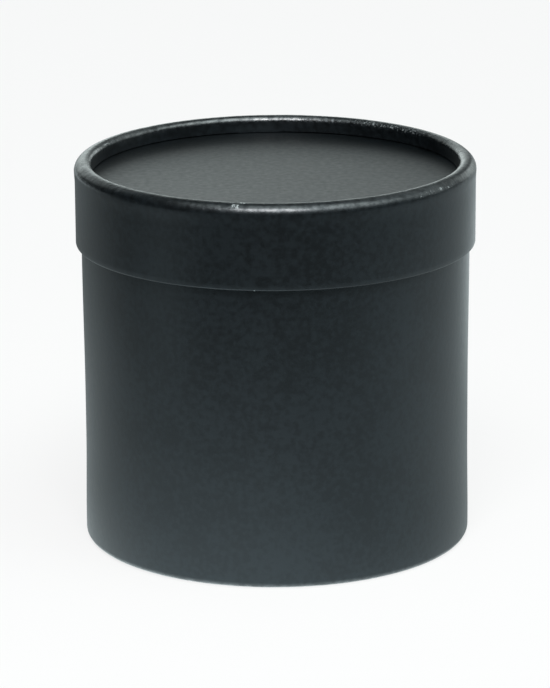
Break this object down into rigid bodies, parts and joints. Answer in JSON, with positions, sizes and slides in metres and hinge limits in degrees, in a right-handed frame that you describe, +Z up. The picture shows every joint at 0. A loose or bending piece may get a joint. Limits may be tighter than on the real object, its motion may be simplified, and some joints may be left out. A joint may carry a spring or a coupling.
{
  "type": "cylindrical gift tube box",
  "caption": "Round telescoping gift box of wound board in black paper, with a rolled-rim lift-off lid, recessed lid panel and rolled foot.",
  "frame": {"origin": "on the table, at the centre of the foot", "axes": "+Z up along the axis of the tube, front towards -Y, glued laps towards +Y"},
  "size_m": [0.1, 0.1001, 0.0965],
  "materials": {
    "cover_paper": "matte black dyed cover paper with a fine grain, burnished and cracked where it is rolled over the rim",
    "inner_paper": "smooth matte black paper on the inside of the discs",
    "wound_board": "solid grey board of glued paper plies with a black innermost ply, its grey seen only at the cut edges"
  },
  "bodies": {
    "box": {"body_cover": "cover_paper", "body_tube": "wound_board", "base_disc_facing": "cover_paper", "base_disc": "wound_board", "base_floor_paper": "inner_paper"},
    "lid": {"lid_cover": "cover_paper", "lid_tube": "wound_board", "lid_disc_facing": "cover_paper", "lid_disc": "wound_board", "lid_ceiling_paper": "inner_paper"}
  },
  "joints": [
    {"name": "lid_lift", "type": "slide", "parent": "box", "child": "lid", "axis": [0, 0, 1], "range_m": [0, 0.1]}
  ]
}
